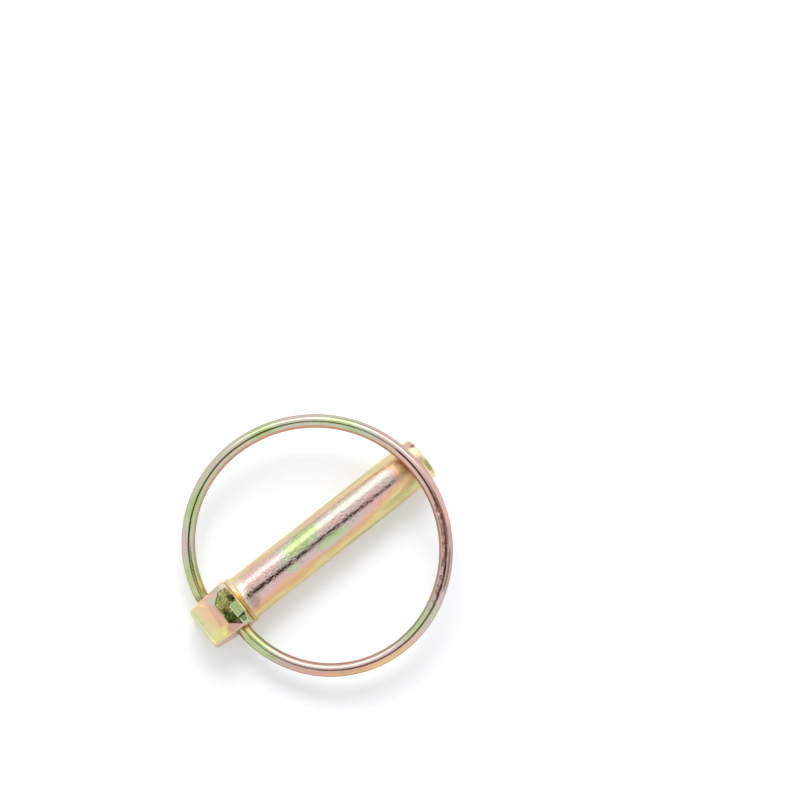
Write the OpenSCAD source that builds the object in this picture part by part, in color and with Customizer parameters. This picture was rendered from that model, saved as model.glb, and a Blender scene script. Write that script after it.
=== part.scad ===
// Lynch pin: a forged pin with a spring wire ring hinged through its head.
// X runs along the pin from head to tip and Z is up. The origin is on the pin's
// axis, at the foot of the shoulder, where the full shank begins.

/* [Shank] */
// Diameter of the shank
shank_d = 7.94; // [7:0.01:9]
// Usable length, from the foot of the shoulder to the tip
usable_len = 38.1; // [34:0.1:46]
// Length of the slightly eased lead at the tip
lead_len = 7; // [5:0.1:9]
// Amount that the lead takes off the radius
lead_drop = 0.12; // [0.05:0.01:0.25]
// Chamfer round the end of the tip
tip_chamfer = 0.35; // [0.2:0.05:0.6]

/* [Collar] */
// Diameter of the round collar under the head
collar_d = 8.65; // [8.4:0.05:8.7]
// Thickness of the collar
collar_t = 0.75; // [0.6:0.05:1.1]
// Chamfer on the collar's rim
rim_chamfer = 0.15; // [0.1:0.01:0.25]
// Length of the concave shoulder between the collar and the shank
neck_len = 0.9; // [0.7:0.05:1.4]

/* [Head] */
// Length of the head, from its free end to the collar's face
head_len = 8.5; // [8:0.1:9.2]
// Height over the two forged lands
head_h = 8.85; // [8.8:0.05:9.6]
// Width at the free end
end_w = 7.2; // [6.9:0.05:7.6]
// Width at the collar
root_w = 8.4; // [8.1:0.05:8.8]
// Thickness of the tang at the free end
tang_t = 6.9; // [6.4:0.05:7.4]
// Rise of each tang face towards the land, in degrees
tang_draft = 5; // [3:0.5:7]
// Radius of the upright corners at the free end
end_corner_r = 0.6; // [0.4:0.05:0.9]
// Chamfer along the top and bottom edges of the free end
end_chamfer = 0.3; // [0.15:0.05:0.4]
// Radius of the hollow sweep from the tang up to the land
sweep_r = 1.3; // [1:0.1:1.8]
// Angle at which the sweep turns back towards the free end on either side, in degrees
sweep_angle = 34; // [26:1:42]

/* [Land] */
// Length of the land, from its front edge to the collar
land_len = 3.75; // [3.4:0.05:4.2]
// Width of the land beside the collar
land_w = 6.8; // [6.4:0.1:7.2]
// Width of the land's front edge
land_nose_w = 3.6; // [3:0.1:4]
// Length over which the land narrows to its front edge
land_nose_len = 2; // [1.6:0.1:2.4]
// Offset of the lands from the pin's axis, towards -Y
land_off = 0.3; // [0:0.05:0.4]
// Slope of the facets beside the land's front edge, in degrees
facet_slope = 18; // [15:1:22]
// Slope of the chamfers along the land's sides, in degrees
side_slope = 48; // [42:1:52]
// Radius at which the turned chamfer meets the collar
turned_r = 4.5; // [4.42:0.01:4.7]
// Rise of the turned chamfer's radius for each millimetre from the collar
turned_slope = 1.6; // [1.3:0.1:2]
// Height of the plain raised pad on the upper land
pad_h = 0.12; // [0.06:0.01:0.2]
// Length of the pad along the pin
pad_len = 1.7; // [1.4:0.1:2]
// Width of the pad across the pin
pad_w = 2.4; // [1.8:0.1:2.6]
// Distance from the pin's axis to the pad's middle, towards -Y
pad_off = 1.1; // [0.8:0.05:1.4]

/* [Ring hole] */
// Distance from the free end to the hole's middle, along the axis
hole_from_end = 4.45; // [4.2:0.05:4.8]
// Angle of the hole off square, in degrees
hole_angle = 15; // [10:0.5:17]
// Radial clearance between the wire and the hole
hinge_clearance = 0.08; // [0.04:0.01:0.09]
// Half angle of the eased mouths, in degrees
mouth_angle = 25; // [22:1:30]

/* [Ring] */
// Diameter of the wire
wire_d = 2.3; // [2:0.01:2.6]
// Distance that the tip stands out past the ring
tip_overhang = 1.4; // [0.8:0.05:2.5]
// Gap between the closed ring and the shank
ring_gap = 0.05; // [0.03:0.01:0.1]
// Stand of the ring's +Y side off the hole's middle, as a part of the ring's reach
ring_rise = 0.405; // [0.38:0.001:0.42]
// Distance inside the head's side wall at which each leg begins to bend
leg_depth = 0.3; // [0.2:0.05:0.6]
// Radius of the bend in each leg, at the middle of the wire
leg_bend_r = 3; // [2.6:0.1:3.4]
// Lean of the +Y leg towards the tip off the line of the hole, in degrees
leg_lean = 27; // [24:1:30]
// Lean of the -Y leg away from the tip off the line of the hole, in degrees
rear_lean = 13; // [10:1:16]
// Turn of the ring's first sweep, beside the +Y leg, in degrees
first_turn = 77; // [70:1:84]
// Turn of the far sweep, across the shank, in degrees
far_turn = 95; // [88:1:102]
// Turn of the sweep after that, in degrees
side_turn = 58; // [50:1:66]
// Gap between the two wire ends inside the head
wire_end_gap = 0.6; // [0.3:0.1:1.2]
// Amount that the bead closing each joint between two sweeps stands proud
bead_rise = 0.005; // [0.004:0.001:0.01]

/* [Quality] */
// Facets round a full circle in the preview mesh
facets = 72; // [48:8:120]

/* [Hidden] */
$fn = facets;

ZINC = "goldenrod";
WIRE = "darkkhaki";
FAR = 60; // longer than any cut needs to be

shank_r = shank_d / 2;
collar_r = collar_d / 2;
wire_r = wire_d / 2;
collar_x = -neck_len - collar_t;
end_x = -neck_len - head_len;
hole_x = end_x + hole_from_end;
land_x = collar_x - land_len;
neck_rise = collar_r - shank_r;
neck_r = (pow(neck_len, 2) + pow(neck_rise, 2)) / (2 * neck_rise);

// The head's side walls, which widen from the free end to the collar
wall_len = collar_x - end_x;
wall_taper = atan((root_w - end_w) / 2 / wall_len);
function wall_y(x) = end_w / 2 + (x - end_x) * tan(wall_taper);

// Where the hollow sweep starts and its crest, along the tang's face and above it
crest = [
    (land_x - end_x) * cos(tang_draft) + (head_h - tang_t) / 2 * sin(tang_draft),
    (head_h - tang_t) / 2 * cos(tang_draft) - (land_x - end_x) * sin(tang_draft)
];
sweep_x = crest.x - sqrt(2 * sweep_r * crest.y - pow(crest.y, 2));
sweep_y = land_nose_w / 2 - (crest.x - sweep_x) * tan(sweep_angle / 2);

// Ring plane: U runs from the hole's middle towards the tip, square to the hole,
// and V runs along the hole towards +Y. Headings are counted from U towards V.
function unit(h) = [cos(h), sin(h)];
function arc_chord(h, turn) = sign(turn) * (unit(h + 90) - unit(h + turn + 90));
function arc_centre(p, h, r, turn) = p + sign(turn) * r * unit(h + 90);
function cross2(a, b) = a.x * b.y - a.y * b.x;

// The two stubs in the head end where their leg begins to bend
stub_len = wall_y(hole_x) / cos(hole_angle) - leg_depth;

// The closed ring lies over the shank's lead, with its far side short of the tip
cross_x = usable_len - tip_overhang - wire_r;
cross_lead = max(0, cross_x - (usable_len - lead_len)) / lead_len;
rest_h = shank_r - lead_drop * cross_lead + wire_r + ring_gap;
rest_tilt = atan(rest_h / ((cross_x - hole_x) * cos(hole_angle)));
ring_reach = (cross_x - hole_x) * cos(hole_angle) / cos(rest_tilt);
cross_at = [ring_reach, -(cross_x - hole_x) * sin(hole_angle)];

h0 = 90;
h1 = h0 - leg_lean;
h2 = h1 - first_turn;
h3 = h2 - far_turn;
h4 = h3 - side_turn;
h5 = 90 - rear_lean - 360;
rear_turn = h5 - h4;
p0 = [0, stub_len];
p1 = p0 + leg_bend_r * arc_chord(h0, h1 - h0);

// The first sweep sets the ring's +Y side, and the far sweep crosses the shank
first_r = (ring_rise * ring_reach - p1.y) / arc_chord(h1, -h1).y;
p2 = p1 + first_r * arc_chord(h1, h2 - h1);
far_r = pow(norm(cross_at - p2), 2) / (2 * unit(h2 - 90) * (cross_at - p2));
p3 = p2 + far_r * arc_chord(h2, h3 - h2);

// The last two radii close the ring on the -Y leg
p6 = [0, -stub_len];
p5 = p6 - leg_bend_r * arc_chord(h5, 90 - 360 - h5);
side_chord = arc_chord(h3, h4 - h3);
rear_chord = arc_chord(h4, rear_turn);
side_r = cross2(p5 - p3, rear_chord) / cross2(side_chord, rear_chord);
rear_r = cross2(side_chord, p5 - p3) / cross2(side_chord, rear_chord);
p4 = p3 + side_r * side_chord;

// Runs a shape drawn along Z along the pin's X axis instead
module along_x() {
    rotate([0, 90, 0]) children();
}

module turned_body() {
    along_x() rotate_extrude()
        difference() {
            polygon([
                [0, collar_x],
                [collar_r - rim_chamfer, collar_x],
                [collar_r, collar_x + rim_chamfer],
                [collar_r, 0],
                [shank_r, 0],
                [shank_r, usable_len - lead_len],
                [shank_r - lead_drop, usable_len - tip_chamfer],
                [shank_r - lead_drop - tip_chamfer, usable_len],
                [0, usable_len]
            ]);
            translate([shank_r + neck_r, 0]) circle(neck_r);
        }
}

// Outline of the head seen from above, with rounded corners at the free end
module head_plan() {
    corner_x = end_x + end_corner_r;
    corner_y = wall_y(corner_x) - end_corner_r / cos(wall_taper);
    touch = [corner_x, corner_y] + end_corner_r * unit(90 + wall_taper);
    union() {
        polygon([
            [end_x, -corner_y],
            [touch.x, -touch.y],
            [collar_x, -root_w / 2],
            [collar_x, root_w / 2],
            touch,
            [end_x, corner_y]
        ]);
        for (side = [-1, 1])
            translate([corner_x, side * corner_y]) circle(end_corner_r);
    }
}

// Outline of the head seen from the side, with the free end's edges chamfered
module head_side() {
    difference() {
        translate([end_x, -head_h / 2]) square([wall_len, head_h]);
        for (side = [0, 1]) mirror([0, side])
            translate([end_x, tang_t / 2 - end_chamfer]) rotate(45)
                translate([-FAR / 2, 0]) square(FAR);
    }
}

// Moves a shape from the XY plane onto the tang's sloping upper face
module on_tang() {
    translate([end_x, 0, tang_t / 2]) rotate([0, -tang_draft, 0]) children();
}

// One side of the hollow that leads down to the tang, turned about its foot
module sweep_side(y, turn) {
    translate([sweep_x, y, 0]) rotate([0, 0, turn]) rotate([90, 0, 0])
        linear_extrude(FAR, center = true) {
            translate([-FAR, 0]) square(FAR);
            translate([0, sweep_r]) circle(sweep_r);
        }
}

// What is cut away above the tang, up to the land's front edge
module tang_cut() {
    on_tang() intersection() {
        sweep_side(0, 0);
        sweep_side(sweep_y - land_off, sweep_angle);
        sweep_side(-sweep_y - land_off, -sweep_angle);
    }
}

// Cuts one facet beside the land's front edge and the chamfer along its side
module corner_cut() {
    translate([land_x, land_nose_w / 2, head_h / 2])
        rotate([0, 0, atan2((land_w - land_nose_w) / 2, land_nose_len)])
            rotate([-facet_slope, 0, 0]) translate([-FAR / 2, -FAR / 2, 0]) cube(FAR);
    translate([0, land_w / 2, head_h / 2]) rotate([-side_slope, 0, 0])
        translate([-FAR / 2, -FAR / 2, 0]) cube(FAR);
}

// Everything that comes off above the tang, the facets and the land's sides
module top_cut() {
    tang_cut();
    difference() {
        translate([0, -land_off, 0]) for (side = [0, 1]) mirror([0, side, 0]) corner_cut();
        on_tang() translate([-FAR + crest.x, -FAR / 2, -FAR]) cube(FAR);
    }
}

// The chamfer that rounds the head's corners down to the collar
module turned_chamfer() {
    along_x() translate([0, 0, end_x])
        cylinder(h = wall_len, r1 = turned_r + wall_len * turned_slope, r2 = turned_r);
}

// The hole for the ring, along Y, with a mouth that widens where each leg bends
module ring_hole() {
    hole_r = wire_r + hinge_clearance;
    flare = FAR / 8;
    translate([hole_x, 0, 0]) rotate([0, 0, hole_angle]) rotate([-90, 0, 0]) {
        cylinder(h = FAR, r = hole_r, center = true);
        for (side = [0, 1]) mirror([0, 0, side]) translate([0, 0, stub_len])
            cylinder(h = flare, r1 = hole_r, r2 = hole_r + flare * tan(mouth_angle));
    }
}

module head_block() {
    difference() {
        intersection() {
            translate([0, 0, -head_h / 2]) linear_extrude(head_h) head_plan();
            rotate([90, 0, 0]) translate([0, 0, -root_w])
                linear_extrude(2 * root_w) head_side();
            turned_chamfer();
        }
        for (face = [0, 1]) mirror([0, 0, face]) top_cut();
    }
}

// A plain pad on the upper land, off the middle
module land_pad() {
    translate([collar_x - pad_len, -pad_off - pad_w / 2, head_h / 2 - pad_h])
        cube([pad_len, pad_w, 2 * pad_h]);
}

module pin() {
    color(ZINC) difference() {
        union() {
            turned_body();
            head_block();
            land_pad();
        }
        ring_hole();
    }
}

// One sweep of wire that starts at p with heading h and turns through an angle
module wire_arc(p, h, r, turn) {
    centre = arc_centre(p, h, r, turn);
    translate([centre.x, centre.y, 0]) rotate([0, 0, turn > 0 ? h - 90 : h + 90 + turn])
        rotate_extrude(angle = abs(turn)) translate([r, 0]) circle(wire_r);
}

// A straight end of the wire inside the head, on the hinge line
module wire_stub() {
    translate([0, wire_end_gap / 2, 0]) rotate([-90, 0, 0])
        cylinder(h = stub_len - wire_end_gap / 2, r = wire_r);
}

// A bead where one sweep runs into the next, so that the wire is one solid
module sweep_joint(p) {
    translate([p.x, p.y, 0]) sphere(wire_r + bead_rise);
}

module ring() {
    color(WIRE) translate([hole_x, 0, 0]) rotate([0, 0, hole_angle]) rotate([0, -rest_tilt, 0])
        union() {
            wire_stub();
            mirror([0, 1, 0]) wire_stub();
            wire_arc(p0, h0, leg_bend_r, h1 - h0);
            wire_arc(p1, h1, first_r, h2 - h1);
            wire_arc(p2, h2, far_r, h3 - h2);
            wire_arc(p3, h3, side_r, h4 - h3);
            wire_arc(p4, h4, rear_r, rear_turn);
            wire_arc(p5, h5, leg_bend_r, 90 - 360 - h5);
            for (p = [p0, p1, p2, p3, p4, p5, p6]) sweep_joint(p);
        }
}

pin();
ring();
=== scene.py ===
import math

import bmesh
import bpy
from mathutils import Matrix, Vector, noise


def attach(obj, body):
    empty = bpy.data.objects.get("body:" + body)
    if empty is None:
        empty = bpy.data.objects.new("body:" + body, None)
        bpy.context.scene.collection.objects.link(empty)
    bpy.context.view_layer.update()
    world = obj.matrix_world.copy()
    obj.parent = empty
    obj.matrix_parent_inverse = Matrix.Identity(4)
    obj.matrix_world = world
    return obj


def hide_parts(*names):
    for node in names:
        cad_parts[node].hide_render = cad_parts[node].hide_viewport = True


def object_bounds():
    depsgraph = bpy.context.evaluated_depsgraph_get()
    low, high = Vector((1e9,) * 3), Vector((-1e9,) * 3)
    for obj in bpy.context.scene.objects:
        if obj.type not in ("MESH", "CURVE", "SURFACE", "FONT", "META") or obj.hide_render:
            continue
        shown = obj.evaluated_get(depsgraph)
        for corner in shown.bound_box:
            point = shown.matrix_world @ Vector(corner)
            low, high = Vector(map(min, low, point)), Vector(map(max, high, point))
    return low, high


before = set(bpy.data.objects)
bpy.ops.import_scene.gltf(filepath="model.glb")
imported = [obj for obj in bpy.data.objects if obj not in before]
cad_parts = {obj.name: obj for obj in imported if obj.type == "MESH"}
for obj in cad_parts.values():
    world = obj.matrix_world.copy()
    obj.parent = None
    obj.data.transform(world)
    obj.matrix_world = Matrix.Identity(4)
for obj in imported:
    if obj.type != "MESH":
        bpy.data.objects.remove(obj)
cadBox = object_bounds()
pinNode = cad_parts["pin"]
mm = 0.001


# Node helpers: a value that is a socket is linked, anything else is typed in

def addNode(tree, kind, values=None, **settings):
    node = tree.nodes.new(kind)
    for name, value in settings.items():
        setattr(node, name, value)
    for socket, value in (values or {}).items():
        if isinstance(value, bpy.types.NodeSocket):
            tree.links.new(value, node.inputs[socket])
        else:
            node.inputs[socket].default_value = value
    return node


def maths(tree, operation, *terms):
    return addNode(tree, "ShaderNodeMath", dict(enumerate(terms)), operation=operation).outputs[0]


def remap(tree, value, low, high, toLow=0.0, toHigh=1.0):
    sockets = {0: value, 1: low, 2: high, 3: toLow, 4: toHigh}
    return addNode(tree, "ShaderNodeMapRange", sockets, interpolation_type="SMOOTHSTEP").outputs[0]


def noiseAt(tree, place, scale, detail=2.0, roughness=0.5, distortion=0.0):
    sockets = {"Vector": place, "Scale": scale, "Detail": detail,
               "Roughness": roughness, "Distortion": distortion}
    return addNode(tree, "ShaderNodeTexNoise", sockets).outputs["Fac"]


def stretched(tree, place, scale, shift=(0.0, 0.0, 0.0)):
    return addNode(tree, "ShaderNodeMapping",
                   {"Vector": place, "Scale": scale, "Location": shift}).outputs[0]


def swing(tree, value, amount):
    # noise about zero instead of about a half
    return maths(tree, "MULTIPLY", maths(tree, "SUBTRACT", value, 0.5), amount)


def blendColours(tree, factor, first, second):
    sockets = {0: factor, 6: first, 7: second}
    return addNode(tree, "ShaderNodeMix", sockets, data_type="RGBA",
                   clamp_factor=True).outputs[2]


def rampOf(tree, factor, steps):
    ramp = addNode(tree, "ShaderNodeValToRGB", {0: factor})
    elements = ramp.color_ramp.elements
    for index, (place, colour) in enumerate(steps):
        element = elements[index] if index < 2 else elements.new(place)
        element.position = place
        element.color = colour
    return ramp.outputs[0]


def tone(code):
    channels = [int(code[i:i + 2], 16) / 255 for i in (0, 2, 4)]
    linear = [c / 12.92 if c <= 0.04045 else ((c + 0.055) / 1.055) ** 2.4 for c in channels]
    return (*linear, 1.0)


# Camera: looks down at the pin, leaning back a little

cameraPlan = {
    "target": (0.041286, 0.010152, 0.0),
    "heading": 38.542,     # degrees about the vertical
    "lean": 9.5,           # degrees off straight down
    "distance": 0.5985,
    "lens": 157.5,         # millimetres, as is the sensor's width
    "sensor": 36.0,
    "clip": (0.01, 20.0),
}
heading = math.radians(cameraPlan["heading"])
viewRight = Vector((math.cos(heading), -math.sin(heading), 0.0))
viewAway = Vector((math.sin(heading), math.cos(heading), 0.0))


def skyward(right, away):
    # direction that lies so many degrees off the vertical to the view's right and away
    spread = viewRight * math.tan(math.radians(right)) + viewAway * math.tan(math.radians(away))
    return (spread + Vector((0.0, 0.0, 1.0))).normalized()


def makeCamera():
    lens = bpy.data.cameras.new("viewCamera")
    lens.lens = cameraPlan["lens"]
    lens.sensor_width = cameraPlan["sensor"]
    lens.clip_start, lens.clip_end = cameraPlan["clip"]
    camera = bpy.data.objects.new("viewCamera", lens)
    bpy.context.scene.collection.objects.link(camera)
    toCamera = skyward(0.0, -cameraPlan["lean"])
    axes = Matrix((viewRight, toCamera.cross(viewRight), toCamera)).transposed()
    place = Vector(cameraPlan["target"]) + toCamera * cameraPlan["distance"]
    camera.matrix_world = Matrix.Translation(place) @ axes.to_4x4()
    bpy.context.scene.camera = camera


makeCamera()
print("camera set")


# Studio: white floor, pale surround, one long soft lamp and the dark of the camera itself

studio = {
    "middle": (0.014, -0.001, 0.0),
    "floorWhite": "f0f3f6",
    "floorReach": 1.5,
    "floorLift": 0.215,        # added white that only eyes and reflections see
    "floorFade": (0.09, 0.26),  # distances over which the floor turns plain white
    "surround": 0.62,          # level at which the surround lights things
    "keyAt": (-2.0, 39.0),     # degrees to the right and away, off the vertical
    "keyDistance": 0.75,
    "keySize": (0.5, 0.4),
    "keyPower": 3.2,
    # round cards that only reflections see: degrees to the right and away, distance, width
    # and depth, tone, strength, and the share of the radius that has full strength
    "cards": {
        "lampGlare": ((-2.0, 44.5), 0.75, (1.3, 0.52), "ffffff", 2.3, 0.7),
        "cameraShade": ((0.0, -14.3), 0.5, (0.34, 0.285), "7e6856", 1.0, 0.85),
        "lensShade": ((11.0, -7.5), 0.49, (0.155, 0.155), "2c1412", 1.0, 0.75),
        "standShade": ((30.0, 8.0), 0.55, (0.44, 0.2), "8c7e72", 1.0, 0.6),
    },
}


def seenFactor(tree):
    # 1 for rays that show the thing itself: to the camera, in a reflection or through glass
    path = addNode(tree, "ShaderNodeLightPath")
    seen = maths(tree, "MAXIMUM", path.outputs["Is Camera Ray"], path.outputs["Is Glossy Ray"])
    return maths(tree, "MAXIMUM", seen, path.outputs["Is Transmission Ray"])


def makeStudio():
    world = bpy.data.worlds.new("paleSurround")
    world.use_nodes = True
    bpy.context.scene.world = world
    tree = world.node_tree
    seen = seenFactor(tree)
    strength = maths(tree, "ADD", studio["surround"],
                     maths(tree, "MULTIPLY", seen, 1.0 - studio["surround"]))
    tree.links.new(strength, tree.nodes["Background"].inputs["Strength"])
    tree.nodes["Background"].inputs["Color"].default_value = (1.0, 1.0, 1.0, 1.0)

    whiteFloor = bpy.data.materials.new("whiteFloor")
    whiteFloor.use_nodes = True
    tree = whiteFloor.node_tree
    tree.nodes.clear()
    plain = addNode(tree, "ShaderNodeBsdfDiffuse", {"Color": tone(studio["floorWhite"])})
    lift = addNode(tree, "ShaderNodeEmission",
                   {"Strength": maths(tree, "MULTIPLY", seenFactor(tree), studio["floorLift"])})
    both = addNode(tree, "ShaderNodeAddShader", {0: plain.outputs[0], 1: lift.outputs[0]})
    white = addNode(tree, "ShaderNodeEmission")
    spot = addNode(tree, "ShaderNodeTexCoord").outputs["Object"]
    away = addNode(tree, "ShaderNodeVectorMath", {0: spot}, operation="LENGTH").outputs["Value"]
    fade = maths(tree, "MULTIPLY", remap(tree, away, *studio["floorFade"]), seenFactor(tree))
    surface = addNode(tree, "ShaderNodeMixShader",
                      {0: fade, 1: both.outputs[0], 2: white.outputs[0]})
    addNode(tree, "ShaderNodeOutputMaterial", {"Surface": surface.outputs[0]})

    floorHeight = cadBox[0][2]
    floorMesh = bpy.data.meshes.new("floor")
    reach = studio["floorReach"]
    corners = [(-reach, -reach), (reach, -reach), (reach, reach), (-reach, reach)]
    floorMesh.from_pydata([(x, y, floorHeight) for x, y in corners], [], [(0, 1, 2, 3)])
    floorMesh.materials.append(whiteFloor)
    floor = bpy.data.objects.new("floor", floorMesh)
    bpy.context.scene.collection.objects.link(floor)

    lamp = bpy.data.lights.new("longLamp", "AREA")
    lamp.shape = "RECTANGLE"
    lamp.size, lamp.size_y = studio["keySize"]
    lamp.energy = studio["keyPower"]
    toLamp = skyward(*studio["keyAt"])
    lampAxes = Matrix((viewRight, toLamp.cross(viewRight).normalized(), toLamp)).transposed()
    lampObject = bpy.data.objects.new("longLamp", lamp)
    bpy.context.scene.collection.objects.link(lampObject)
    lampObject.matrix_world = (Matrix.Translation(Vector(studio["middle"])
                               + toLamp * studio["keyDistance"]) @ lampAxes.to_4x4())
    lampObject.visible_glossy = False

    for name, (angles, distance, size, code, strength, core) in studio["cards"].items():
        fadeCard(makeCard(name, angles, distance, size), tone(code), strength, core)


def makeCard(name, angles, distance, size):
    # square to the line from the pin
    mesh = bpy.data.meshes.new(name)
    shape = bmesh.new()
    bmesh.ops.create_circle(shape, cap_ends=True, segments=64, radius=0.5)
    toCard = skyward(*angles)
    across = toCard.cross(viewRight).normalized()
    axes = Matrix((across.cross(toCard), across, toCard)).transposed().to_4x4()
    shape.to_mesh(mesh)
    shape.free()
    card = bpy.data.objects.new(name, mesh)
    bpy.context.scene.collection.objects.link(card)
    card.matrix_world = (Matrix.Translation(Vector(studio["middle"]) + toCard * distance)
                         @ axes @ Matrix.Diagonal((*size, 1.0, 1.0)))
    for rays in ("visible_camera", "visible_diffuse", "visible_shadow", "visible_transmission"):
        setattr(card, rays, False)
    return card


def fadeCard(card, colour, strength, core):
    # full strength in the core, clear at the rim
    face = bpy.data.materials.new(card.name)
    face.use_nodes = True
    tree = face.node_tree
    tree.nodes.clear()
    spot = addNode(tree, "ShaderNodeTexCoord").outputs["Object"]
    radius = addNode(tree, "ShaderNodeVectorMath", {0: spot}, operation="LENGTH").outputs["Value"]
    shown = remap(tree, radius, core * 0.5, 0.5, 1.0, 0.0)
    glow = addNode(tree, "ShaderNodeEmission", {"Color": colour, "Strength": strength})
    clear = addNode(tree, "ShaderNodeBsdfTransparent")
    both = addNode(tree, "ShaderNodeMixShader",
                   {0: shown, 1: clear.outputs[0], 2: glow.outputs[0]})
    addNode(tree, "ShaderNodeOutputMaterial", {"Surface": both.outputs[0]})
    card.data.materials.append(face)


makeStudio()
print("studio lit")


# Zinc plate: one film group gives the colour for the thickness of the coat

zincFilm = {
    "steps": [
        (0.00, "c8c890"),      # yellow green
        (0.13, "e6d49a"),      # straw
        (0.27, "e2be8a"),      # gold
        (0.42, "e4b49e"),      # salmon
        (0.56, "dab8b0"),      # rose
        (0.68, "cbbcb4"),      # grey
        (0.80, "bfcba8"),      # pale green
        (0.91, "aec386"),      # green
        (1.00, "c8c890"),
    ],
}


def makeFilmGroup():
    group = bpy.data.node_groups.new("zincFilm", "ShaderNodeTree")
    group.interface.new_socket("Thickness", in_out="INPUT", socket_type="NodeSocketFloat")
    group.interface.new_socket("Colour", in_out="OUTPUT", socket_type="NodeSocketColor")
    inward = group.nodes.new("NodeGroupInput")
    outward = group.nodes.new("NodeGroupOutput")
    steps = [(place, tone(code)) for place, code in zincFilm["steps"]]
    group.links.new(rampOf(group, inward.outputs[0], steps), outward.inputs[0])
    return group


filmGroup = makeFilmGroup()


def filmColour(tree, thickness):
    looped = maths(tree, "FRACT", thickness)
    return addNode(tree, "ShaderNodeGroup", {0: looped}, node_tree=filmGroup).outputs[0]


def newFinish(name, roughness, edgeTint):
    finish = bpy.data.materials.new(name)
    finish.use_nodes = True
    shader = finish.node_tree.nodes["Principled BSDF"]
    shader.inputs["Metallic"].default_value = 1.0
    shader.inputs["Roughness"].default_value = roughness
    shader.inputs["Specular Tint"].default_value = tone(edgeTint)
    return finish, finish.node_tree, shader


def millimetres(tree):
    coordinates = addNode(tree, "ShaderNodeTexCoord").outputs["Object"]
    return addNode(tree, "ShaderNodeVectorMath", {0: coordinates, "Scale": 1 / mm},
                   operation="SCALE").outputs[0]


def grainBump(tree, shader, height, depth, under=None):
    sockets = {"Height": height, "Distance": depth, "Strength": 1.0}
    if under:
        sockets["Normal"] = under
    bump = addNode(tree, "ShaderNodeBump", sockets).outputs[0]
    tree.links.new(bump, shader.inputs["Normal"])
    return bump


# Swept stock: round stock of any girth that follows a path, for the ring and for the shank

def makeSweptStock():
    tree = bpy.data.node_groups.new("sweptStock", "GeometryNodeTree")
    inward = tree.nodes.new("NodeGroupInput")
    outward = tree.nodes.new("NodeGroupOutput")
    for name, kind in (("Path", "NodeSocketGeometry"), ("Diameter", "NodeSocketFloat"),
                       ("Facets Round", "NodeSocketInt"), ("Finish", "NodeSocketMaterial")):
        tree.interface.new_socket(name, in_out="INPUT", socket_type=kind)
    tree.interface.new_socket("Stock", in_out="OUTPUT", socket_type="NodeSocketGeometry")
    path = addNode(tree, "GeometryNodeMeshToCurve", {"Mesh": inward.outputs["Path"]})
    upright = addNode(tree, "GeometryNodeSetCurveNormal", {"Curve": path.outputs[0]},
                      mode="MINIMUM_TWIST")
    runLength = addNode(tree, "GeometryNodeSplineParameter")
    marked = addNode(tree, "GeometryNodeStoreNamedAttribute",
                     {"Geometry": upright.outputs[0], "Name": "along",
                      "Value": runLength.outputs["Length"]},
                     data_type="FLOAT", domain="POINT")
    circle = addNode(tree, "GeometryNodeCurvePrimitiveCircle",
                     {"Resolution": inward.outputs["Facets Round"], "Radius": 1.0})
    place = addNode(tree, "GeometryNodeInputPosition")
    section = addNode(tree, "GeometryNodeStoreNamedAttribute",
                      {"Geometry": circle.outputs[0], "Name": "roundAbout",
                       "Value": place.outputs[0]},
                      data_type="FLOAT_VECTOR", domain="POINT")
    girth = addNode(tree, "GeometryNodeInputNamedAttribute", {"Name": "girth"},
                    data_type="FLOAT")
    radius = maths(tree, "MULTIPLY", girth.outputs[0],
                   maths(tree, "MULTIPLY", inward.outputs["Diameter"], 0.5))
    swept = addNode(tree, "GeometryNodeCurveToMesh",
                    {"Curve": marked.outputs[0], "Profile Curve": section.outputs[0],
                     "Scale": radius, "Fill Caps": True})
    smooth = addNode(tree, "GeometryNodeSetShadeSmooth", {"Geometry": swept.outputs[0]})
    real = addNode(tree, "GeometryNodeRealizeInstances", {"Geometry": smooth.outputs[0]})
    dressed = addNode(tree, "GeometryNodeSetMaterial",
                      {"Geometry": real.outputs[0], "Material": inward.outputs["Finish"]})
    tree.links.new(dressed.outputs[0], outward.inputs[0])
    return tree


sweptStock = makeSweptStock()


def sweepStock(name, points, girths, diameter, facets, finish):
    mesh = bpy.data.meshes.new(name)
    mesh.from_pydata(points, [(i, i + 1) for i in range(len(points) - 1)], [])
    mesh.attributes.new("girth", "FLOAT", "POINT").data.foreach_set("value", girths)
    stock = bpy.data.objects.new(name, mesh)
    bpy.context.scene.collection.objects.link(stock)
    sweep = stock.modifiers.new("sweep", "NODES")
    sweep.node_group = sweptStock
    values = {"Diameter": diameter, "Facets Round": facets, "Finish": finish}
    for item in sweptStock.interface.items_tree:
        if item.name in values:
            sweep[item.identifier] = values[item.name]
    return madePlain(stock)


def madePlain(piece):
    # what the modifiers make becomes the piece's own mesh
    graph = bpy.context.evaluated_depsgraph_get()
    made = bpy.data.meshes.new_from_object(piece.evaluated_get(graph),
                                           preserve_all_data_layers=True, depsgraph=graph)
    piece.modifiers.clear()
    piece.data = made
    return piece


# Spring ring: one wire in six sweeps, hinged in the head

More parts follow.
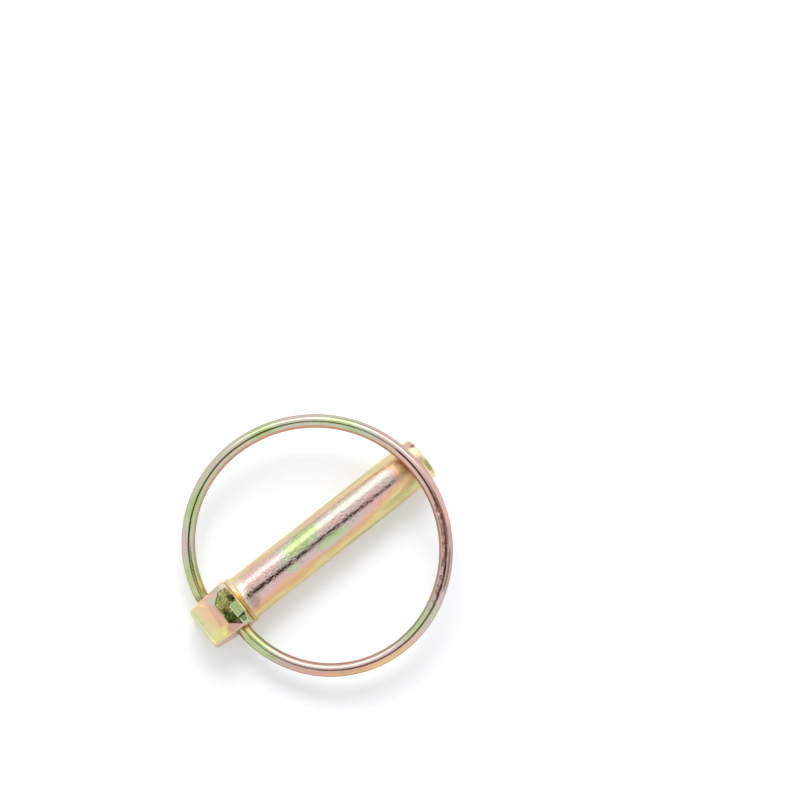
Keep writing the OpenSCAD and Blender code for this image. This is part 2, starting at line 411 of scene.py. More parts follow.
springRing = {
    "wireDiameter": 2.3 * mm,
    "hingeX": -4.95 * mm,
    "holeAngle": 15.0,
    "tilt": 7.4186,
    "endGap": 0.3 * mm,
    "length": 133.86 * mm,
    "stub": 3.78366 * mm,
    # radius in millimetres and turn in degrees, from the leg on the +Y side
    "sweeps": [(3.0, -27.0), (19.8379, -77.0), (22.4548, -95.0),
               (21.4889, -58.0), (19.3391, -116.0), (3.0, 13.0)],
    "pointEvery": 0.35 * mm,
    "facetsRound": 56,
    # coats by the tone that they show, and the share of the wire's length where each is met
    "coats": {"yellowGreen": 1.05, "green": 0.88, "grey": 0.72, "rose": 0.58},
    "stretches": [(0.0, "yellowGreen"), (0.07, "green"), (0.1, "grey"), (0.15, "green"),
                  (0.2, "grey"), (0.28, "green"), (0.34, "grey"), (0.4, "green"),
                  (0.44, "grey"), (0.5, "rose"), (0.65, "rose"), (0.7, "green"),
                  (0.75, "grey"), (0.8, "rose"), (0.9, "rose"), (0.93, "green"),
                  (1.0, "yellowGreen")],
    # share of the wire's length, and how much thinner the coat is at the ring's edges
    "innerEdge": [(0.1, 0.1), (0.25, 0.4), (0.45, 0.4), (0.5, 0.05)],
    "outerEdge": [(0.7, 0.0), (0.76, 0.35), (0.84, 0.2), (0.9, 0.0)],
    "innerFrom": (0.45, 0.75),     # where each edge begins: 1 is the inner side, -1 the outer
    "outerFrom": (-0.35, -0.6),
    "innerRise": 0.05,
    "patchChange": (-0.08, 0.06),
    "streakChange": 0.12,
    "jitter": 0.05,                # how far noise shifts a stretch along the wire
    # start and end along the wire, place and half width across it, tone and strength
    # a dark line over the tip: painted reflection of the camera
    "streaks": [(0.46, 0.56, -0.03, 0.15, "2e1c12", 0.85),
                # a dark band on the outer side: painted reflection of a dark thing
                (0.605, 0.665, -0.68, 0.12, "40281e", 0.7),
                # a thin dark line on the outer side: painted reflection of the horizon
                (0.37, 0.49, -0.74, 0.07, "5a4630", 0.35),
                # a darker outer half: painted reflection of the camera's stand
                (0.575, 0.67, -0.65, 0.42, "96807a", 0.35),
                # a darker outer half along the lower stretch: painted shade
                (0.79, 0.93, -0.65, 0.42, "a88468", 0.25),
                (0.0, 0.06, 0.55, 0.35, "e2d06c", 0.65)],
    "streakFade": 0.012,
    "coatMost": 1.4,               # a ramp holds shares of this
    "scuffed": (0.52, 0.56, 0.66, 0.71),     # where rubbing has roughened the wire; its brown speckle paints the reflection of dark things
    "scuffAndShadeTone": "86665a",
    "shadedRoots": (0.027, 0.043),                 # painted shade at the root of each leg, where it enters the hole
    "rootShadeTone": "7a5428",
    "rootShadeStrength": 0.75,
    "innerShadeTone": "8e6444",                     # painted shade on the wire's innermost edge, where it reflects the shaded floor
    "innerShadeStrength": 0.5,
    "roughness": 0.15,
    "edgeTint": "c8948a",
    "drawnDepth": 0.014 * mm,
    "grainDepth": 0.02 * mm,
}


def ringPath():
    plan = springRing
    flat = [Vector((0.0, plan["endGap"])), Vector((0.0, plan["stub"] * 0.5)),
            Vector((0.0, plan["stub"]))]
    place, course = flat[-1], 90.0
    for radius, turn in plan["sweeps"]:
        radius *= mm
        side = math.copysign(1.0, turn)
        out = math.radians(course + 90.0)
        centre = place + Vector((math.cos(out), math.sin(out))) * side * radius
        steps = max(6, round(abs(math.radians(turn)) * radius / plan["pointEvery"]))
        for step in range(1, steps + 1):
            out = math.radians(course + turn * step / steps + 90.0)
            flat.append(centre - Vector((math.cos(out), math.sin(out))) * side * radius)
        place, course = flat[-1], course + turn
    flat += [Vector((0.0, -plan["stub"] * 0.5)), Vector((0.0, -plan["endGap"]))]
    turned = (Matrix.Translation((plan["hingeX"], 0.0, 0.0))
              @ Matrix.Rotation(math.radians(plan["holeAngle"]), 4, "Z")
              @ Matrix.Rotation(math.radians(-plan["tilt"]), 4, "Y"))
    return [turned @ point.to_3d() for point in flat]


def ringFinish():
    plan = springRing
    finish, tree, shader = newFinish("platedWire", plan["roughness"], plan["edgeTint"])
    along = addNode(tree, "ShaderNodeAttribute", attribute_name="along").outputs["Fac"]
    section = addNode(tree, "ShaderNodeAttribute", attribute_name="roundAbout").outputs["Vector"]
    parts = addNode(tree, "ShaderNodeSeparateXYZ", {0: section})
    inward = parts.outputs[0]                       # 1 on the ring's inner side, -1 outside
    run = maths(tree, "MULTIPLY", along, 1 / mm)
    laid = addNode(tree, "ShaderNodeCombineXYZ",
                   {0: parts.outputs[0], 1: parts.outputs[1], 2: run}).outputs[0]
    patches = noiseAt(tree, stretched(tree, laid, (0.6, 0.6, 0.22), (3.0, 1.0, 7.0)), 1.0, 1.5)
    streaks = noiseAt(tree, stretched(tree, laid, (1.8, 1.8, 0.3)), 1.0, 2.0)
    share = maths(tree, "DIVIDE", along, plan["length"])
    jitter = swing(tree, streaks, plan["jitter"])
    wavy = maths(tree, "ADD", share, jitter)
    coats = [(place, (plan["coats"][name] / plan["coatMost"],) * 3 + (1.0,))
             for place, name in plan["stretches"]]
    thickness = maths(tree, "MULTIPLY", rampOf(tree, wavy, coats), plan["coatMost"])
    rise = maths(tree, "MULTIPLY", inward, plan["innerRise"])
    thickness = maths(tree, "ADD", thickness, rise)
    for edge, (low, high) in (("innerEdge", plan["innerFrom"]), ("outerEdge", plan["outerFrom"])):
        steps = [(place, (value,) * 3 + (1.0,)) for place, value in plan[edge]]
        thinner = maths(tree, "MULTIPLY", rampOf(tree, wavy, steps),
                        remap(tree, inward, low, high))
        thickness = maths(tree, "SUBTRACT", thickness, thinner)
    thickness = maths(tree, "ADD", thickness,
                      remap(tree, patches, 0.3, 0.7, *plan["patchChange"]))
    thickness = maths(tree, "ADD", thickness, swing(tree, streaks, plan["streakChange"]))
    colour = filmColour(tree, thickness)
    # rubbed stretch: the grain below is real, and the brown speckle in the wire's middle is a
    # painted reflection of dark things
    start, full, fading, end = plan["scuffed"]
    scuffed = maths(tree, "MULTIPLY", remap(tree, share, start, full),
                    remap(tree, share, fading, end, 1.0, 0.0))
    speckle = noiseAt(tree, stretched(tree, laid, (3.5, 3.5, 1.2)), 1.0, 3.0, 0.7)
    middle = remap(tree, maths(tree, "ABSOLUTE", inward), 0.25, 0.6, 1.0, 0.0)
    dull = maths(tree, "MULTIPLY", maths(tree, "MULTIPLY", scuffed, middle),
                 remap(tree, speckle, 0.38, 0.58))
    colour = blendColours(tree, dull, colour, tone(plan["scuffAndShadeTone"]))
    fade = plan["streakFade"]
    # dark lines and darker bands along the wire, mostly painted reflections and shade, and a
    # yellow band on one leg
    for start, end, middle, halfWidth, code, strength in plan["streaks"]:
        reach = maths(tree, "MULTIPLY", remap(tree, share, start, start + fade),
                      remap(tree, share, end - fade, end, 1.0, 0.0))
        away = maths(tree, "ABSOLUTE", maths(tree, "SUBTRACT", inward, middle))
        band = remap(tree, away, halfWidth * 1.3, halfWidth * 0.6, 0.0, strength)
        colour = blendColours(tree, maths(tree, "MULTIPLY", reach, band), colour, tone(code))
    # painted shade where each leg enters the hole
    fromEnd = maths(tree, "MINIMUM", share, maths(tree, "SUBTRACT", 1.0, share))
    rootShade = remap(tree, maths(tree, "ADD", fromEnd, jitter), *plan["shadedRoots"],
                  plan["rootShadeStrength"], 0.0)
    colour = blendColours(tree, rootShade, colour, tone(plan["rootShadeTone"]))
    # painted shade along the inner edge, where the wire reflects the shaded floor
    rim = remap(tree, inward, 0.74, 0.98, 0.0, plan["innerShadeStrength"])
    colour = blendColours(tree, rim, colour, tone(plan["innerShadeTone"]))
    tree.links.new(colour, shader.inputs["Base Color"])
    lines = noiseAt(tree, stretched(tree, laid, (4.2, 4.2, 0.12)), 1.0, 1.0)
    drawn = grainBump(tree, shader, lines, plan["drawnDepth"])
    grain = noiseAt(tree, stretched(tree, laid, (9.0, 9.0, 2.2)), 1.0, 2.0, 0.6)
    depth = remap(tree, scuffed, 0.0, 1.0, 0.35, 1.0)
    grainBump(tree, shader, maths(tree, "MULTIPLY", grain, depth), plan["grainDepth"], drawn)
    return finish


path = ringPath()
springWire = sweepStock("springWire", path, [1.0] * len(path), springRing["wireDiameter"],
                        springRing["facetsRound"], ringFinish())
print("ring swept:", len(springWire.data.polygons), "faces")


# Turned shank: collar, hollow shoulder, straight shank, eased lead and chamfered tip

turnedShank = {
    "diameter": 7.94 * mm,
    "length": 38.1,         # this and the plain lengths that follow are in millimetres
    "leadLength": 7.0,
    "leadDrop": 0.12,
    "tipChamfer": 0.35,
    "collarDiameter": 8.65,
    "collarThickness": 0.75,
    "rimChamfer": 0.15,
    "neckLength": 0.9,
    "easing": 0.07,
    "facetsRound": 160,
    # bands of the coat towards each side: from and to, as shares of the radius, and the coats
    "bandLeft": (0.6, 1.06, 0.68, 0.04),
    "bandRight": (0.42, 1.06, 0.64, 0.04),
    "bandChange": (-0.09, 0.07),
    "leadCoat": 0.24,
    "leadAt": (32.5, 35.5),
    "collarTone": "ecc05e",
    # from and to across the collar, and the tone beyond; the first, cream towards +Y, is a painted
    # highlight
    "collarBands": [(0.0, 0.75, "f0e2ba"), (-0.2, -0.5, "ac9650"), (-0.6, -0.9, "d8ba7c")],
    # painted highlight on the shank's lit side by the neck
    "neckHighlightTone": "f0e2ba",
    # paler tip: the plate's tone there and a painted highlight on the lead and chamfer
    "tipTone": "f0dfbb",
    # dark flecks in the grain: painted reflections of the dark camera
    "fleckReflectionTone": "7c5a4e",
    "tipFace": (37.2, 37.9),       # flecks and pits end here
    "roughness": 0.14,
    "softness": 0.2,               # added where the plate is dull
    "edgeTint": "f4ead6",
    "grainDepth": 0.022 * mm,
    "pitDepth": 0.014 * mm,
    # middle, half size in millimetres and change of the coat
    "coatSpots": [((12.8, 1.5, 3.7), (5.2, 1.9, 2.4), 0.25),
                  ((17.2, -1.8, 3.5), (3.8, 1.3, 1.8), 0.25),
                  ((8.9, -1.6, 3.6), (1.7, 0.8, 1.4), 0.22),
                  ((34.2, -3.2, 2.4), (2.4, 1.2, 1.6), -0.2)],
    # middle, half size, tone and strength of the stains, and of the painted shade, reflections and
    # highlights among them
    # painted shade of the ring where it crosses the shank
    "stainsAndPaintedLight": [((34.0, 0.7, 3.8), (1.3, 1.9, 1.5), "a8805e", 0.75),
               # painted dark reflection in the hollow shoulder
               ((0.4, -2.1, 3.3), (1.3, 1.5, 1.4), "96705f", 0.5),
               # painted highlight on the neck's lit side
               ((-0.1, 1.6, 3.6), (1.0, 2.2, 1.6), "f6e6cc", 0.8),
               ((37.2, 2.9, 2.5), (1.0, 1.0, 1.2), "dcaca6", 0.9),
               # painted dark reflection on the tip's rounded corner
               ((37.7, 2.2, 3.2), (0.5, 0.5, 0.6), "6a5058", 0.8),
               ((37.9, -2.2, 3.0), (0.7, 1.9, 1.6), "a29c5e", 0.9)],
}


def easedProfile(corners, easing):
    # rounds each corner of an outline with a short arc and keeps the runs between them short
    outline = []
    for index, corner in enumerate(corners):
        corner = Vector(corner)
        if index in (0, len(corners) - 1):
            outline.append(corner)
            continue
        back = Vector(corners[index - 1]) - corner
        on = Vector(corners[index + 1]) - corner
        cut = min(easing, back.length * 0.4, on.length * 0.4)
        start, end = corner + back.normalized() * cut, corner + on.normalized() * cut
        outline.append(corner + back.normalized() * cut * 1.2)
        for step in range(6):
            t = step / 5
            outline.append(start.lerp(corner, t).lerp(corner.lerp(end, t), t))
        outline.append(corner + on.normalized() * cut * 1.2)
    return outline


def shankOutline():
    plan = turnedShank
    radius = plan["diameter"] / mm / 2
    collar = plan["collarDiameter"] / 2
    back = -plan["neckLength"] - plan["collarThickness"]
    rise = collar - radius
    hollow = (plan["neckLength"] ** 2 + rise ** 2) / (2 * rise)
    corners = [(back, 0.02), (back, collar - plan["rimChamfer"]),
               (back + plan["rimChamfer"], collar), (-plan["neckLength"], collar)]
    outline = easedProfile(corners + [neckPoint(plan, radius, hollow, 0.15)], plan["easing"])
    outline += [Vector(neckPoint(plan, radius, hollow, t / 12)) for t in range(2, 13)]
    outline += [Vector((x * 0.5, radius)) for x in range(1, 60)]
    corners = [(29.6, radius), (plan["length"] - plan["leadLength"], radius),
               (plan["length"] - plan["tipChamfer"], radius - plan["leadDrop"]),
               (plan["length"], radius - plan["leadDrop"] - plan["tipChamfer"]),
               (plan["length"], 0.02)]
    outline += easedProfile(corners, plan["easing"])
    return outline


def neckPoint(plan, radius, hollow, t):
    x = -plan["neckLength"] * (1 - t)
    return (x, radius + hollow - math.sqrt(hollow ** 2 - x ** 2))


def spotMask(tree, place, middle, size):
    # 1 inside an oval patch with a wandering edge, 0 outside
    offset = addNode(tree, "ShaderNodeVectorMath", {0: place, 1: middle}, operation="SUBTRACT")
    scaled = addNode(tree, "ShaderNodeVectorMath",
                     {0: offset.outputs[0], 1: tuple(1 / s for s in size)}, operation="MULTIPLY")
    reach = addNode(tree, "ShaderNodeVectorMath", {0: scaled.outputs[0]}, operation="LENGTH")
    wander = noiseAt(tree, stretched(tree, place, (0.5, 1.1, 1.1)), 1.0, 2.0)
    edge = maths(tree, "ADD", reach.outputs["Value"], swing(tree, wander, 1.2))
    return remap(tree, edge, 0.45, 1.2, 1.0, 0.0)


def overlaidPatches(tree, place, colour, stainsAndPaintedLight):
    for middle, size, code, strength in stainsAndPaintedLight:
        spot = maths(tree, "MULTIPLY", spotMask(tree, place, middle, size), strength)
        colour = blendColours(tree, spot, colour, tone(code))
    return colour


def shankFinish():
    plan = turnedShank
    finish, tree, shader = newFinish("platedShank", plan["roughness"], plan["edgeTint"])
    place = millimetres(tree)
    parts = addNode(tree, "ShaderNodeSeparateXYZ", {0: place})
    run = parts.outputs["X"]
    across = maths(tree, "DIVIDE", parts.outputs["Y"], plan["diameter"] / mm / 2)
    streaks = noiseAt(tree, stretched(tree, place, (0.16, 0.9, 0.9)), 1.0, 2.0)
    broad = noiseAt(tree, stretched(tree, place, (0.12, 0.45, 0.45), (2.0, 0.0, 0.0)), 1.0, 2.0)
    warp = maths(tree, "ADD", swing(tree, streaks, 0.35), remap(tree, run, 18.0, 37.0, 0.0, 0.32))
    left = remap(tree, maths(tree, "ADD", across, warp), *plan["bandLeft"])
    right = remap(tree, maths(tree, "SUBTRACT", warp, across), *plan["bandRight"])
    band = maths(tree, "MINIMUM", left, right)
    band = maths(tree, "ADD", band, remap(tree, broad, 0.35, 0.65, *plan["bandChange"]))
    change = 0.0
    for middle, size, amount in plan["coatSpots"]:
        spot = maths(tree, "MULTIPLY", spotMask(tree, place, middle, size), amount)
        change = maths(tree, "ADD", change, spot)
    onLead = remap(tree, maths(tree, "ADD", run, maths(tree, "MULTIPLY", warp, 6.0)),
                   *plan["leadAt"])
    plain = addNode(tree, "ShaderNodeMix", {0: onLead, 2: band, 3: plan["leadCoat"]})
    colour = filmColour(tree, maths(tree, "ADD", plain.outputs[0], change))
    # painted highlight on the shank's lit side by the neck
    pale = maths(tree, "MULTIPLY", remap(tree, run, 0.4, 3.4, 0.85, 0.42),
                 remap(tree, maths(tree, "ADD", across, warp), 0.45, 0.85))
    colour = blendColours(tree, pale, colour, tone(plan["neckHighlightTone"]))
    # paler tip: the plate's tone there and a painted highlight on the lead and chamfer
    tipward = maths(tree, "MULTIPLY", remap(tree, run, 35.8, 36.8, 0.0, 0.85),
                    remap(tree, run, 38.02, 38.08, 1.0, 0.15))
    colour = blendColours(tree, tipward, colour, tone(plan["tipTone"]))
    colour = overlaidPatches(tree, place, colour, plan["stainsAndPaintedLight"])
    offTip = remap(tree, run, *plan["tipFace"], 1.0, 0.0)
    # dark flecks between the highlight and the dark line: painted reflections of the dark camera
    # in the grain
    flecks = noiseAt(tree, stretched(tree, place, (2.2, 5.6, 5.6), (9.0, 5.0, 2.0)), 1.0, 1.0)
    onTop = maths(tree, "MULTIPLY", remap(tree, across, -0.35, -0.1),
                  remap(tree, across, 0.2, 0.5, 1.0, 0.0))
    paintedReflection = maths(tree, "MULTIPLY", onTop, remap(tree, flecks, 0.54, 0.68, 0.0, 0.36))
    colour = blendColours(tree, maths(tree, "MULTIPLY", paintedReflection, offTip), colour,
                          tone(plan["fleckReflectionTone"]))
    # the collar's bands; the cream towards +Y is a painted highlight
    collar = tone(plan["collarTone"])
    for low, high, code in plan["collarBands"]:
        collar = blendColours(tree, remap(tree, across, low, high), collar, tone(code))
    onCollar = remap(tree, run, -0.98, -0.86, 1.0, 0.0)
    colour = blendColours(tree, onCollar, colour, collar)
    tree.links.new(colour, shader.inputs["Base Color"])
    grain = noiseAt(tree, stretched(tree, place, (2.3, 4.2, 4.2)), 1.0, 1.5, 0.6)
    worked = grainBump(tree, shader, grain, plan["grainDepth"])
    dashes = noiseAt(tree, stretched(tree, place, (1.5, 5.2, 5.2), (4.0, 2.0, 1.0)), 1.0, 0.0)
    pits = maths(tree, "MULTIPLY", remap(tree, dashes, 0.6, 0.74), offTip)
    grainBump(tree, shader, pits, -plan["pitDepth"], worked)
    dullLead = remap(tree, run, 30.5, 32.5)
    dullSides = remap(tree, maths(tree, "ABSOLUTE", across), 0.58, 0.76, 0.0, 1.3)
    dullUpper = remap(tree, across, 0.15, 0.45, 0.0, 0.35)
    soft = maths(tree, "MAXIMUM", maths(tree, "MAXIMUM", onCollar, dullLead),
                 maths(tree, "MAXIMUM", dullSides, dullUpper))
    rough = maths(tree, "ADD", plan["roughness"], maths(tree, "MULTIPLY", soft, plan["softness"]))
    tree.links.new(rough, shader.inputs["Roughness"])
    return finish


def makeShank():
    outline = shankOutline()
    points, girths = [], []
    radius = turnedShank["diameter"] / mm / 2
    for index, point in enumerate(outline):
        points.append(((point.x + index * 1e-5) * mm, 0.0, 0.0))
        girths.append(point.y / radius)
    return sweepStock("turnedShank", points, girths, turnedShank["diameter"],
                      turnedShank["facetsRound"], shankFinish())


shank = makeShank()
print("shank turned:", len(shank.data.polygons), "faces")


# Forged head: the solid's own shape with its edges eased and its faces a little uneven

forgedHead = {
    "cutAt": -1.62 * mm,
    "voxel": 0.075,         # this and the plain lengths that follow are in millimetres
    "smoothing": 4,
    "freeEnd": -9.4,
    "tangHalf": 3.45,       # half the tang's thickness at the free end
    "tangDraft": 5.0,       # degrees
    "landHeight": 4.40,
    "padHeight": 4.48,
    "unevenness": 0.007,
    "landUnevenness": 0.045,
    "pit": ((-2.35, 0.85, 4.42), 0.75, 0.25),   # place, radius and depth
    "landDrop": 0.05,       # the rough land lies a little below its own rim
    "dropFrom": (4.395, 4.42),     # heights over which that drop begins
    "flatFacing": 0.93,            # how squarely a flat or a side faces its own way
    "sideFacing": 0.75,
    "holeShadeReach": (1.2, 1.75),      # distances from the hole's line: where its painted shade ends
    "holeClear": (1.3, 1.6),       # and where the unevenness begins
    # coats of the sides, the free end, the tang's faces and the sweep above them
    "sideCoat": 0.5,
    "sideFall": 0.04,              # what the sides have lost by the free end
    "endCoat": 0.04,
    "faceCoat": 0.14,
    "nearSweep": 0.28,             # changes of the faces near the sweep, the +Y side and the end
    "nearRight": 0.08,
    "nearEnd": -0.1,
    "sweepCoat": 0.53,
    # middle, radius and change of the coat
    "coatSpots": [((-4.9, 2.4, 4.2), 1.3, 0.3), ((-2.3, -3.9, 3.7), 1.6, 0.36),
                  ((-3.7, 3.9, 3.6), 1.3, 0.28), ((-7.0, -3.9, 2.5), 1.4, -0.2),
                  ((-5.9, -2.4, 3.7), 1.5, -0.2)],
    # painted highlights: a paler spot on the turned chamfer, and paler side walls in place of
    # their brighter reflection
    "sheenSpots": [((-2.1, 3.4, 3.9), 1.1)],
    "spotSheen": 0.8,
    "sideSheen": 0.35,
    "crestBulge": 0.012,           # bulge that counts as a full crest
    # shallow groove beside the pad, painted dark as shade: its reach, place, half width and depth
    "gap": ((-3.3, -1.6), -2.42, 0.14, 0.1),
    # ends of the painted highlights along the edges beside the pad, and their half width
    "brightEdges": [((-3.46, -0.15), (-3.44, -2.3)), ((-3.44, -2.3), (-2.7, -2.3)),
                    ((-3.3, -2.75), (-3.32, -3.6)), ((-3.32, -3.6), (-2.5, -3.8))],
    "edgeWidth": 0.085,
    "brightAbove": 4.3,
    "landDark": "3e4a1a",          # tones of the rough land, from one side to the other
    "landPale": "a8ae68",
    "landBrown": "4a3a1e",
    "landBright": "c8ca90",
    # painted highlight along the land's edge by the collar
    "landRim": "e2d6a0",
    "pitTone": "5e4c1e",
    # marks on the land and their tones, each over the one before: border and gap are painted
    # shade, bright is painted highlight
    "landMarks": [("border", "2e2a10"), ("pad", "a4b880"), ("gap", "222a0c"),
                  ("bright", "e6efc8")],
    # paler tone on the tang's faces: plate colour that also paints the brighter reflection they
    # show
    "tangSheenTone": "fff2c0",
    # painted highlight on convex crests
    "crestHighlightTone": "ece4c4",
    # painted highlight on the chamfer spot and the side walls
    "sheenTone": "f3eedd",
    # painted shade around the hole's mouth
    "holeShadeTone": "7c5430",
    "roughness": 0.38,
    "edgeTint": "f4ead6",
    "grainDepth": 0.13 * mm,
    # middle, half size, tone and strength of the stains on the tang
    "tangStains": [((-9.3, 1.0, 3.0), (0.8, 4.5, 1.6), "d2dcae", 0.9),
                   ((-8.0, -3.0, 3.3), (1.6, 1.5, 1.5), "f4f0a6", 0.85),
                   ((-7.3, 1.2, 3.6), (0.9, 2.4, 1.2), "ffdcb6", 0.8),
                   ((-9.2, -4.1, 2.6), (0.9, 0.9, 1.6), "e8c8b4", 0.7),
                   ((-6.7, -3.6, 3.6), (0.9, 0.9, 1.2), "f2e08c", 0.7)],
    # middle, half size, tone and strength of the stains on the land; the black one in the pit is
    # painted shade
    "stainsAndPaintedLight": [((-3.8, 0.1, 4.4), (0.6, 0.9, 1.0), "8c7846", 0.6),
               ((-4.6, -0.3, 4.4), (0.5, 0.7, 1.0), "3c3214", 0.75),
               ((-4.6, -1.5, 4.4), (0.9, 0.8, 1.0), "3e5a1c", 0.7),
               ((-3.8, -2.95, 4.4), (0.55, 0.6, 1.0), "75604c", 0.9),
               ((-5.0, -2.2, 4.4), (0.6, 0.35, 1.0), "161806", 0.9),
               ((-2.7, -3.2, 4.4), (0.6, 0.6, 1.0), "7e9a58", 0.9),
               # painted shade at the bottom of the pit
               ((-2.1, 0.7, 4.4), (0.35, 0.3, 1.0), "100a04", 1.0)],
}


# values that each vertex keeps for the finish
headMarks = ("coat", "land", "pad", "gap", "pit", "hole", "crest", "paintedReflection", "border", "bright")


def headFinish():
    plan = forgedHead
    finish, tree, shader = newFinish("platedHead", plan["roughness"], plan["edgeTint"])
    place = millimetres(tree)
    parts = addNode(tree, "ShaderNodeSeparateXYZ", {0: place})
    marks = {}
    for name in headMarks:
        marks[name] = addNode(tree, "ShaderNodeAttribute", attribute_name=name).outputs["Fac"]
    patches = noiseAt(tree, stretched(tree, place, (0.35, 0.35, 0.35), (5.0, 2.0, 0.0)), 1.0, 1.0)
    thickness = maths(tree, "ADD", marks["coat"], remap(tree, patches, 0.3, 0.7, -0.03, 0.03))
    colour = filmColour(tree, thickness)
    # paler tone on the tang's faces: plate colour that also paints the brighter reflection they
    # show
    onFaces = remap(tree, maths(tree, "ABSOLUTE", parts.outputs["Z"]), 2.6, 3.1, 0.15, 0.7)
    onTang = maths(tree, "MULTIPLY", remap(tree, parts.outputs["X"], -6.0, -7.4), onFaces)
    colour = blendColours(tree, onTang, colour, tone(plan["tangSheenTone"]))
    colour = overlaidPatches(tree, place, colour, plan["tangStains"])

    broad = noiseAt(tree, stretched(tree, place, (0.6, 0.6, 0.6), (1.0, 4.0, 2.0)), 1.0, 2.0)
    broken = noiseAt(tree, stretched(tree, place, (2.2, 1.3, 1.5)), 1.0, 5.0, 0.7, 0.8)
    bright = noiseAt(tree, stretched(tree, place, (1.6, 2.8, 2.0), (7.0, 1.0, 3.0)), 1.0, 4.0, 0.7)
    slide = maths(tree, "ADD", parts.outputs["Y"], remap(tree, broad, 0.3, 0.7, -1.6, 1.6))
    land = blendColours(tree, remap(tree, slide, -1.7, 3.0), tone(plan["landDark"]),
                        tone(plan["landPale"]))
    land = blendColours(tree, remap(tree, broken, 0.47, 0.6, 0.0, 0.8), land,
                        tone(plan["landBrown"]))
    land = blendColours(tree, remap(tree, bright, 0.54, 0.66, 0.0, 0.75), land,
                        tone(plan["landBright"]))
    land = blendColours(tree, marks["pit"], land, tone(plan["pitTone"]))
    land = overlaidPatches(tree, place, land, plan["stainsAndPaintedLight"])
    for name, code in plan["landMarks"]:
        land = blendColours(tree, marks[name], land, tone(code))
    # painted highlight along the land's edge by the collar
    onRim = remap(tree, parts.outputs["X"], -2.0, -1.86, 0.0, 0.9)
    land = blendColours(tree, onRim, land, tone(plan["landRim"]))
    colour = blendColours(tree, marks["land"], colour, land)

    # painted highlights on crests, on the chamfer spot and on the side walls, and painted shade at
    # the hole's mouth
    crest = remap(tree, marks["crest"], 0.2, 0.7, 0.0, 0.7)
    colour = blendColours(tree, crest, colour, tone(plan["crestHighlightTone"]))
    colour = blendColours(tree, marks["paintedReflection"], colour, tone(plan["sheenTone"]))
    colour = blendColours(tree, marks["hole"], colour, tone(plan["holeShadeTone"]))
    tree.links.new(colour, shader.inputs["Base Color"])
    fine = noiseAt(tree, place, 3.4, 4.0, 0.65)
    depth = addNode(tree, "ShaderNodeMix", {0: marks["land"], 2: 0.02, 3: 1.0}).outputs[0]
    grainBump(tree, shader, maths(tree, "MULTIPLY", fine, depth), plan["grainDepth"])
    return finish


def makeHead():
    plan = forgedHead
    shape = bmesh.new()
    shape.from_mesh(pinNode.data)            # a copy: the solid itself stays as it is
    bmesh.ops.remove_doubles(shape, verts=shape.verts, dist=1e-6)
    everything = shape.verts[:] + shape.edges[:] + shape.faces[:]
    bmesh.ops.bisect_plane(shape, geom=everything, plane_co=(plan["cutAt"], 0, 0),
                           plane_no=(1, 0, 0), clear_outer=True)
    bmesh.ops.holes_fill(shape, edges=[e for e in shape.edges if e.is_boundary], sides=0)
    bmesh.ops.scale(shape, verts=shape.verts, vec=(1 / mm,) * 3)
    mesh = bpy.data.meshes.new("forgedHead")
    shape.to_mesh(mesh)
    shape.free()
    head = bpy.data.objects.new("forgedHead", mesh)
    bpy.context.scene.collection.objects.link(head)
    skin = head.modifiers.new("skin", "REMESH")
    skin.mode = "VOXEL"
    skin.voxel_size = plan["voxel"]
    ease = head.modifiers.new("ease", "SMOOTH")
    ease.factor = 0.5
    ease.iterations = plan["smoothing"]
    madePlain(head)
    markAndRoughen(head.data)
    head.data.transform(Matrix.Scale(mm, 4))
    head.data.materials.clear()
    head.data.materials.append(headFinish())
    head.data.polygons.foreach_set("use_smooth", [True] * len(head.data.polygons))
    return head


def easeIn(value, low, high):
    t = min(1.0, max(0.0, (value - low) / (high - low)))
    return t * t * (3.0 - 2.0 * t)


def coatAt(spot, facing):
    # thickness of the coat over the head: it thins from the sweep out to the free end
    plan = forgedHead
    if abs(facing.y) > plan["sideFacing"]:
        coat = plan["sideCoat"] - plan["sideFall"] * spot.x / plan["freeEnd"]
    elif facing.x < -0.8:
        coat = plan["endCoat"]
    else:
        draft = math.tan(math.radians(plan["tangDraft"]))
        face = plan["tangHalf"] + (spot.x - plan["freeEnd"]) * draft
        coat = plan["faceCoat"] + plan["nearSweep"] * easeIn(spot.x, -7.9, -6.3)
        coat += plan["nearRight"] * easeIn(spot.y, 1.5, 3.6)
        coat += plan["nearEnd"] * easeIn(-spot.x, 8.3, 9.4)
        coat += (plan["sweepCoat"] - coat) * easeIn(abs(spot.z) - face, 0.1, 0.6)
    for middle, radius, change in plan["coatSpots"]:
        reach = (spot - Vector(middle)).length + 0.5 * radius * noise.noise(spot * 1.1)
        coat += change * (1.0 - easeIn(reach, radius * 0.35, radius))
    return coat


def offSegment(spot, start, end):
    run = end - start
    share = min(1.0, max(0.0, (spot - start).dot(run) / run.length_squared))
    return (spot - start - run * share).length


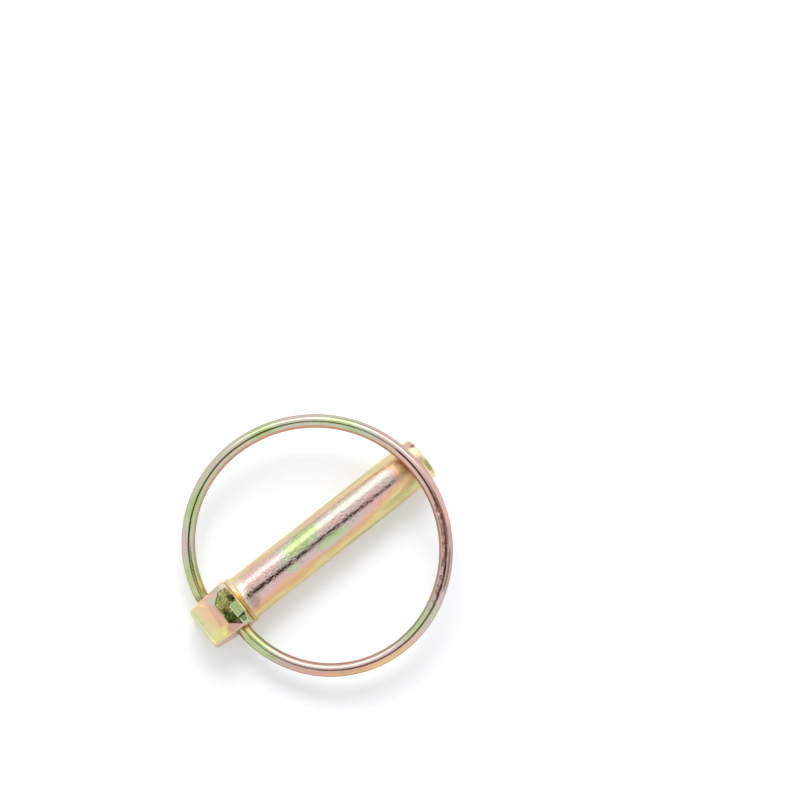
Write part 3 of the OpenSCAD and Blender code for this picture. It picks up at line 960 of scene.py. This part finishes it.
def markAndRoughen(mesh):
    # paints the marks that the finish reads, painted highlights and shade among them, and makes
    # the forged faces uneven, in millimetres
    plan = forgedHead
    marks = {name: [] for name in headMarks}
    middle, pitRadius, pitDepth = plan["pit"]
    (gapFrom, gapTo), gapAt, gapWidth, gapDepth = plan["gap"]
    alongHole = Matrix.Rotation(math.radians(springRing["holeAngle"]), 3, "Z") @ Vector((0, 1, 0))
    hinge = Vector((springRing["hingeX"] / mm, 0, 0))
    around = [Vector() for _ in mesh.vertices]
    count = [0] * len(mesh.vertices)
    for edge in mesh.edges:
        a, b = edge.vertices
        around[a] += mesh.vertices[b].co
        around[b] += mesh.vertices[a].co
        count[a] += 1
        count[b] += 1
    moved = []
    brightEdges = [(Vector(a), Vector(b)) for a, b in plan["brightEdges"]]
    for vertex in mesh.vertices:
        spot, facing = vertex.co.copy(), vertex.normal.copy()
        raised = spot.z > plan["landHeight"] + 0.04
        flat = abs(spot.z) > plan["landHeight"] and abs(facing.z) > plan["flatFacing"]
        onLand = 1.0 if raised or flat else 0.0
        onPad = easeIn(spot.z, plan["padHeight"] - 0.02, plan["padHeight"] + 0.02) * onLand
        # painted shade in the groove beside the pad
        inGap = 1.0 - easeIn(abs(spot.y - gapAt), gapWidth * 0.4, gapWidth)
        inGap *= onLand * (1.0 - onPad) if spot.z > 0 and gapFrom < spot.x < gapTo else 0.0
        # painted highlight on the turned chamfer
        paintedReflection = max(1.0 - easeIn((spot - Vector(place)).length + 0.3 * noise.noise(spot * 2.0),
                                radius * 0.4, radius) for place, radius in plan["sheenSpots"])
        inPit = 1.0 - easeIn((spot - Vector(middle)).length
                             + 0.3 * noise.noise(spot * 2.5), pitRadius * 0.5, pitRadius)
        toHinge = spot - hinge
        offHole = (toHinge - alongHole * toHinge.dot(alongHole)).length
        bulge = (spot - around[vertex.index] / count[vertex.index]).dot(facing)
        marks["coat"].append(coatAt(spot, facing))
        marks["land"].append(onLand)
        marks["pad"].append(onPad)
        marks["gap"].append(inGap)
        marks["pit"].append(inPit)
        # painted shade around the hole's mouth
        marks["hole"].append(1.0 - easeIn(offHole, *plan["holeShadeReach"]))
        # painted highlight on convex crests
        marks["crest"].append(min(1.0, max(0.0, bulge / plan["crestBulge"])))
        # painted highlight on the side walls, in place of their brighter reflection
        onSide = abs(facing.y) > plan["sideFacing"] and spot.x < -2.0
        marks["paintedReflection"].append(max(paintedReflection * plan["spotSheen"], plan["sideSheen"] if onSide else 0.0))
        # painted shade along the land's sloping rim, varied by noise
        tilted = easeIn(1.0 - abs(facing.z), 0.0005, 0.006) * onLand * (1.0 - onPad)
        marks["border"].append(tilted * (0.75 + 0.5 * noise.noise(spot * 2.3)))
        # painted highlights along the edges beside the pad
        offEdge = min(offSegment(spot.to_2d(), a, b) for a, b in brightEdges)
        inBright = 1.0 - easeIn(offEdge, plan["edgeWidth"] * 0.6, plan["edgeWidth"] * 1.4)
        marks["bright"].append(inBright * 0.9 if spot.z > plan["brightAbove"] else 0.0)
        amount = plan["unevenness"] + (plan["landUnevenness"] - plan["unevenness"]) * onLand
        rough = noise.fractal(spot * (1.5 if onLand else 0.6), 0.7, 2.0, 3)
        clearOfHole = easeIn(offHole, *plan["holeClear"])
        drop = plan["landDrop"] * easeIn(abs(spot.z), *plan["dropFrom"]) * onLand * (1.0 - onPad)
        drop += inPit * pitDepth + inGap * gapDepth
        moved.append(spot + facing * (rough * amount * clearOfHole - drop))
    mesh.vertices.foreach_set("co", [c for spot in moved for c in spot])
    for name, values in marks.items():
        mesh.attributes.new(name, "FLOAT", "POINT").data.foreach_set("value", values)
    mesh.update()


head = makeHead()
print("head forged:", len(head.data.polygons), "faces")

for piece, body, node in ((springWire, "ring", "ring"), (shank, "pin", "pin"),
                          (head, "pin", "pin")):
    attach(piece, body)
    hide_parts(node)

bpy.context.scene.view_settings.view_transform = "Standard"
